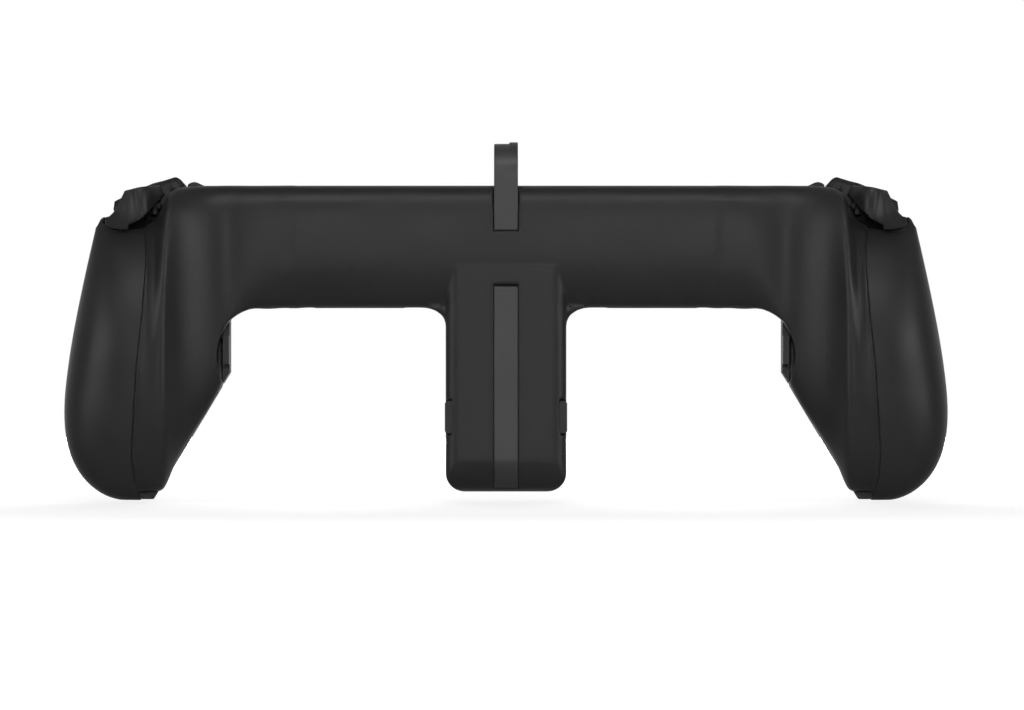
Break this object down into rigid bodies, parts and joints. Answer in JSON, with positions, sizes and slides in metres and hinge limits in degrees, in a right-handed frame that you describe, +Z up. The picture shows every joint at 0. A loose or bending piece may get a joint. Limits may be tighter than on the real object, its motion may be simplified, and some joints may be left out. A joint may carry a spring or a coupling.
{
  "type": "game controller",
  "caption": "Ergonomic two-handed game controller grip with a sprung clamp for a small tablet, sticks, buttons, bumpers and triggers.",
  "frame": {"origin": "on the surface the two handle tips stand on, under the centre of the overall box", "axes": "+Z up with the controller upright, the rear facing -Y and the player's side +Y; +X to the right when seen from behind, which is the player's left"},
  "size_m": [0.2768, 0.0541, 0.1127],
  "materials": {
    "shell": "fine matte grain, dark grey",
    "grip": "fine matte grain, dark grey",
    "strap": "satin, dark grey",
    "button": "matte, near black",
    "rubber": "matte",
    "board": "solder-masked board",
    "steel": "bright",
    "cable": "satin film",
    "weight": "sintered metal",
    "plug": "bright shell"
  },
  "bodies": {
    "shell": {"backrest_pads": "rubber", "backrest_plate": "shell", "backrest_screws": "steel", "bumper_pins": "steel", "channel_strip": "strap", "clamp_spring": "steel", "dpad_membrane": "rubber", "dpad_stand": "shell", "face_button_membrane": "rubber", "face_screws": "steel", "face_shell_left": "shell", "face_shell_right": "shell", "grip_cover_left": "grip", "grip_cover_right": "grip", "pcb_left": "board", "pcb_right": "board", "rear_shell": "shell", "release_springs": "steel", "ribbon_cable": "cable", "rumble_motors": "steel", "rumble_mounts": "rubber", "side_rail_left": "shell", "side_rail_right": "shell", "stick_base_left": "shell", "stick_base_right": "shell", "stick_collars": "button", "tact_switches": "board", "trigger_brackets": "shell", "trigger_pins": "steel", "trigger_springs": "steel", "usb_board": "board", "usb_flex": "cable", "usb_plug": "plug"},
    "clamp": {"clamp_hook": "strap", "hook_pad": "rubber"},
    "release_left": {"release_button_left": "button"},
    "release_right": {"release_button_right": "button"},
    "bumper_left": {"bumper_left": "button"},
    "bumper_right": {"bumper_right": "button"},
    "trigger_left": {"trigger_left": "button"},
    "trigger_right": {"trigger_right": "button"},
    "dpad_pivot": {"dpad_rocker": "shell"},
    "dpad": {"dpad": "button"},
    "rumble_left": {"rumble_weight_left": "weight"},
    "rumble_right": {"rumble_weight_right": "weight"},
    "stick_carriage_left": {"stick_cradle_left": "shell"},
    "stick_pivot_left": {"stick_rocker_left": "shell"},
    "stick_left": {"thumbstick_left": "rubber"},
    "stick_carriage_right": {"stick_cradle_right": "shell"},
    "stick_pivot_right": {"stick_rocker_right": "shell"},
    "stick_right": {"thumbstick_right": "rubber"},
    "face_button_up": {"face_button_up": "button"},
    "face_button_down": {"face_button_down": "button"},
    "face_button_inner": {"face_button_inner": "button"},
    "face_button_outer": {"face_button_outer": "button"},
    "select_button": {"select_button": "button"},
    "capture_button": {"capture_button": "button"},
    "start_button": {"start_button": "button"},
    "home_button": {"home_button": "button"}
  },
  "joints": [
    {"name": "clamp_slide", "type": "slide", "parent": "shell", "child": "clamp", "axis": [0, 0, 1], "range_m": [0, 0.012], "stiffness_N_per_m": 60, "springref_m": -0.015, "deforming": ["clamp_spring"]},
    {"name": "release_press_left", "type": "slide", "parent": "shell", "child": "release_left", "axis": [-1, 0, 0], "range_m": [0, 0.0012], "stiffness_N_per_m": 250, "springref_m": -0.001},
    {"name": "release_press_right", "type": "slide", "parent": "shell", "child": "release_right", "axis": [1, 0, 0], "range_m": [0, 0.0012], "stiffness_N_per_m": 250, "springref_m": -0.001},
    {"name": "bumper_press_left", "type": "hinge", "parent": "shell", "child": "bumper_left", "pos_m": [0.1036, 0.008, 0.0964], "axis": [0, 1, 0], "range_deg": [0, 3], "stiffness_Nm_per_rad": 0.06, "springref_deg": -4.58},
    {"name": "bumper_press_right", "type": "hinge", "parent": "shell", "child": "bumper_right", "pos_m": [-0.1036, 0.008, 0.0964], "axis": [0, -1, 0], "range_deg": [0, 3], "stiffness_Nm_per_rad": 0.06, "springref_deg": -4.58},
    {"name": "trigger_pull_left", "type": "hinge", "parent": "shell", "child": "trigger_left", "pos_m": [0.116, -0.0008, 0.0906], "axis": [1, 0, 0], "range_deg": [0, 12], "stiffness_Nm_per_rad": 0.08, "springref_deg": -6.88},
    {"name": "trigger_pull_right", "type": "hinge", "parent": "shell", "child": "trigger_right", "pos_m": [-0.116, -0.0008, 0.0906], "axis": [1, 0, 0], "range_deg": [0, 12], "stiffness_Nm_per_rad": 0.08, "springref_deg": -6.88},
    {"name": "stick_press_left", "type": "slide", "parent": "shell", "child": "stick_carriage_left", "axis": [0, -1, 0], "range_m": [0, 0.0005], "stiffness_N_per_m": 400, "springref_m": -0.001},
    {"name": "stick_tilt_vertical_left", "type": "hinge", "parent": "stick_carriage_left", "child": "stick_pivot_left", "pos_m": [0.108, 0.009, 0.078], "axis": [1, 0, 0], "range_deg": [-18, 18], "stiffness_Nm_per_rad": 0.04},
    {"name": "stick_tilt_sideways_left", "type": "hinge", "parent": "stick_pivot_left", "child": "stick_left", "pos_m": [0.108, 0.009, 0.078], "axis": [0, 0, 1], "range_deg": [-18, 18], "stiffness_Nm_per_rad": 0.04},
    {"name": "stick_press_right", "type": "slide", "parent": "shell", "child": "stick_carriage_right", "axis": [0, -1, 0], "range_m": [0, 0.0005], "stiffness_N_per_m": 400, "springref_m": -0.001},
    {"name": "stick_tilt_vertical_right", "type": "hinge", "parent": "stick_carriage_right", "child": "stick_pivot_right", "pos_m": [-0.1035, 0.009, 0.05], "axis": [1, 0, 0], "range_deg": [-18, 18], "stiffness_Nm_per_rad": 0.04},
    {"name": "stick_tilt_sideways_right", "type": "hinge", "parent": "stick_pivot_right", "child": "stick_right", "pos_m": [-0.1035, 0.009, 0.05], "axis": [0, 0, 1], "range_deg": [-18, 18], "stiffness_Nm_per_rad": 0.04},
    {"name": "dpad_tilt_vertical", "type": "hinge", "parent": "shell", "child": "dpad_pivot", "pos_m": [0.1035, 0.009, 0.05], "axis": [1, 0, 0], "range_deg": [-4, 4], "stiffness_Nm_per_rad": 0.06},
    {"name": "dpad_tilt_sideways", "type": "hinge", "parent": "dpad_pivot", "child": "dpad", "pos_m": [0.1035, 0.009, 0.05], "axis": [0, 0, 1], "range_deg": [-4, 4], "stiffness_Nm_per_rad": 0.06},
    {"name": "face_button_up_press", "type": "slide", "parent": "shell", "child": "face_button_up", "axis": [0, -1, 0], "range_m": [0, 0.001], "stiffness_N_per_m": 200, "springref_m": -0.001},
    {"name": "face_button_down_press", "type": "slide", "parent": "shell", "child": "face_button_down", "axis": [0, -1, 0], "range_m": [0, 0.001], "stiffness_N_per_m": 200, "springref_m": -0.001},
    {"name": "face_button_inner_press", "type": "slide", "parent": "shell", "child": "face_button_inner", "axis": [0, -1, 0], "range_m": [0, 0.001], "stiffness_N_per_m": 200, "springref_m": -0.001},
    {"name": "face_button_outer_press", "type": "slide", "parent": "shell", "child": "face_button_outer", "axis": [0, -1, 0], "range_m": [0, 0.001], "stiffness_N_per_m": 200, "springref_m": -0.001},
    {"name": "select_button_press", "type": "slide", "parent": "shell", "child": "select_button", "axis": [0, -1, 0], "range_m": [0, 0.0006], "stiffness_N_per_m": 200, "springref_m": -0.001},
    {"name": "capture_button_press", "type": "slide", "parent": "shell", "child": "capture_button", "axis": [0, -1, 0], "range_m": [0, 0.0006], "stiffness_N_per_m": 200, "springref_m": -0.001},
    {"name": "start_button_press", "type": "slide", "parent": "shell", "child": "start_button", "axis": [0, -1, 0], "range_m": [0, 0.0006], "stiffness_N_per_m": 200, "springref_m": -0.001},
    {"name": "home_button_press", "type": "slide", "parent": "shell", "child": "home_button", "axis": [0, -1, 0], "range_m": [0, 0.0006], "stiffness_N_per_m": 200, "springref_m": -0.001},
    {"name": "rumble_spin_left", "type": "hinge", "parent": "shell", "child": "rumble_left", "pos_m": [0.119, -0.008, 0.018], "axis": [0, 0, 1], "continuous": true},
    {"name": "rumble_spin_right", "type": "hinge", "parent": "shell", "child": "rumble_right", "pos_m": [-0.119, -0.008, 0.018], "axis": [0, 0, 1], "continuous": true}
  ]
}
